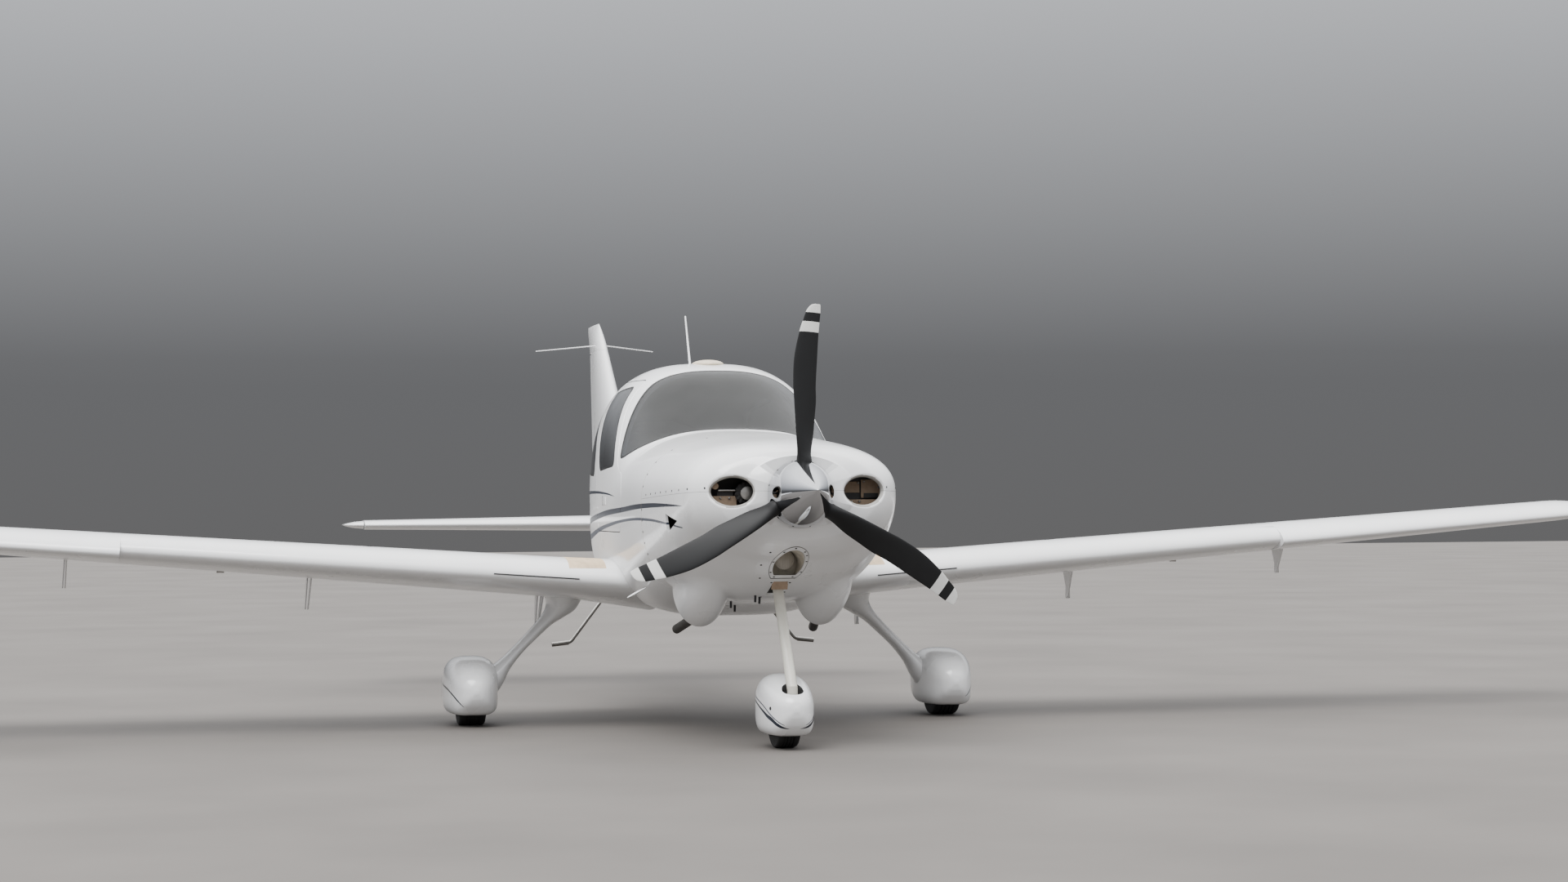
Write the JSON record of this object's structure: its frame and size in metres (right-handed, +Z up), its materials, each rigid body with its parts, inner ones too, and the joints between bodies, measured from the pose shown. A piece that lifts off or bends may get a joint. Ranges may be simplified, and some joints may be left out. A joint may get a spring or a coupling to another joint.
{
  "type": "light aircraft",
  "caption": "Low-wing light aircraft on fixed tricycle gear with a front propeller, wheel fairings, front-hinged cabin doors, flaps, ailerons, elevator and rudder.",
  "frame": {"origin": "on the floor under the middle of the bounding box", "axes": "+X to port along the span, -Y forward to the spinner's tip, +Z up"},
  "size_m": [11.7024, 7.9197, 2.699],
  "materials": {
    "white_paint": "glossy white paint over composite skin",
    "chrome": "polished",
    "blade_black": "matte black with light tips",
    "rubber": "black rubber",
    "alloy": "satin",
    "steel": "heat-stained steel",
    "leg_paint": "white paint over steel",
    "engine": "cast metal",
    "glass": "tinted acrylic",
    "lamp": "clear lens",
    "red_lens": "red lens",
    "green_lens": "green lens",
    "leather": "tan leather",
    "interior": "dark grey panel",
    "carpet": "cut pile carpet"
  },
  "bodies": {
    "airframe": {"fuselage_shell": "white_paint", "windscreen": "glass", "rear_window_left": "glass", "rear_window_right": "glass", "cowl_upper": "white_paint", "cowl_lower": "white_paint", "engine_block": "engine", "landing_light": "lamp", "exhaust_pipe_left": "steel", "exhaust_pipe_right": "steel", "navigation_light_left": "red_lens", "navigation_light_right": "green_lens", "wing_left": "white_paint", "wing_right": "white_paint", "tailplane_left": "white_paint", "tailplane_right": "white_paint", "fin": "white_paint", "fin_cap": "white_paint", "wheel_pant_left": "white_paint", "wheel_pant_right": "white_paint", "gear_leg_left": "leg_paint", "gear_leg_right": "leg_paint", "nose_gear_leg": "leg_paint", "boarding_step_left": "steel", "boarding_step_right": "steel", "radio_antenna": "white_paint", "gps_antenna": "white_paint", "cabin_floor": "carpet", "instrument_panel": "interior", "front_seat_left": "leather", "front_seat_right": "leather", "rear_seat": "leather"},
    "propeller": {"spinner": "chrome", "propeller_hub": "alloy", "propeller_blade_1": "blade_black", "propeller_blade_2": "blade_black", "propeller_blade_3": "blade_black"},
    "main_wheel_left": {"main_tyre_left": "rubber", "main_wheel_left": "alloy"},
    "main_wheel_right": {"main_tyre_right": "rubber", "main_wheel_right": "alloy"},
    "nose_caster": {"nose_fork": "leg_paint", "nose_pant": "white_paint"},
    "nose_wheel": {"nose_tyre": "rubber", "nose_wheel": "alloy"},
    "flap_left": {"flap_left": "white_paint"},
    "flap_right": {"flap_right": "white_paint"},
    "aileron_left": {"aileron_left": "white_paint"},
    "aileron_right": {"aileron_right": "white_paint"},
    "elevator": {"elevator_left": "white_paint", "elevator_right": "white_paint"},
    "rudder": {"rudder": "white_paint"},
    "door_left": {"door_left": "white_paint", "door_window_left": "glass"},
    "door_right": {"door_right": "white_paint", "door_window_right": "glass"},
    "baggage_door": {"baggage_door": "white_paint"}
  },
  "joints": [
    {"name": "propeller_spin", "type": "hinge", "parent": "airframe", "child": "propeller", "pos_m": [0, -3.605, 1.374], "axis": [0, -0.999, 0.0436], "continuous": true},
    {"name": "main_wheel_left_spin", "type": "hinge", "parent": "airframe", "child": "main_wheel_left", "pos_m": [1.47, -0.985, 0.19], "axis": [1, 0, 0], "continuous": true},
    {"name": "main_wheel_right_spin", "type": "hinge", "parent": "airframe", "child": "main_wheel_right", "pos_m": [-1.47, -0.985, 0.19], "axis": [1, 0, 0], "continuous": true},
    {"name": "nose_caster", "type": "hinge", "parent": "airframe", "child": "nose_caster", "pos_m": [0, -3.317, 0.3], "axis": [0, 0, 1], "range_deg": [-108, 108]},
    {"name": "nose_wheel_spin", "type": "hinge", "parent": "nose_caster", "child": "nose_wheel", "pos_m": [0, -3.105, 0.178], "axis": [1, 0, 0], "continuous": true},
    {"name": "flap_left_hinge", "type": "hinge", "parent": "airframe", "child": "flap_left", "pos_m": [0.67497, -0.605, 0.52792], "axis": [-0.9947, 0, -0.1024], "range_deg": [0, 32]},
    {"name": "flap_right_hinge", "type": "hinge", "parent": "airframe", "child": "flap_right", "pos_m": [-0.67497, -0.605, 0.52792], "axis": [-0.9947, 0, 0.1024], "range_deg": [0, 32]},
    {"name": "aileron_left_hinge", "type": "hinge", "parent": "airframe", "child": "aileron_left", "pos_m": [3.90445, -0.733, 1.09045], "axis": [-0.9969, 0, -0.0788], "range_deg": [-12.5, 12.5]},
    {"name": "aileron_right_hinge", "type": "hinge", "parent": "airframe", "child": "aileron_right", "pos_m": [-3.90445, -0.733, 1.09045], "axis": [0.9969, 0, -0.0788], "range_deg": [-12.5, 12.5]},
    {"name": "elevator_hinge", "type": "hinge", "parent": "airframe", "child": "elevator", "pos_m": [0, 3.05, 1.182], "axis": [1, 0, 0], "range_deg": [-15, 25]},
    {"name": "rudder_hinge", "type": "hinge", "parent": "airframe", "child": "rudder", "pos_m": [0, 3.407, 1.01], "axis": [0, 0.1244, 0.9922], "range_deg": [-20, 20]},
    {"name": "door_left_hinge", "type": "hinge", "parent": "airframe", "child": "door_left", "pos_m": [0.699, -1.857, 1.15], "axis": [0, 0, -1], "range_deg": [0, 70]},
    {"name": "door_right_hinge", "type": "hinge", "parent": "airframe", "child": "door_right", "pos_m": [-0.699, -1.857, 1.15], "axis": [0, 0, 1], "range_deg": [0, 70]},
    {"name": "baggage_door_hinge", "type": "hinge", "parent": "airframe", "child": "baggage_door", "pos_m": [0.575, 0.151, 1.11], "axis": [0, 0, -1], "range_deg": [0, 95]}
  ],
  "couplings": [
    {"joint": "flap_right_hinge", "follows": "flap_left_hinge", "ratio": 1},
    {"joint": "aileron_right_hinge", "follows": "aileron_left_hinge", "ratio": 1}
  ]
}
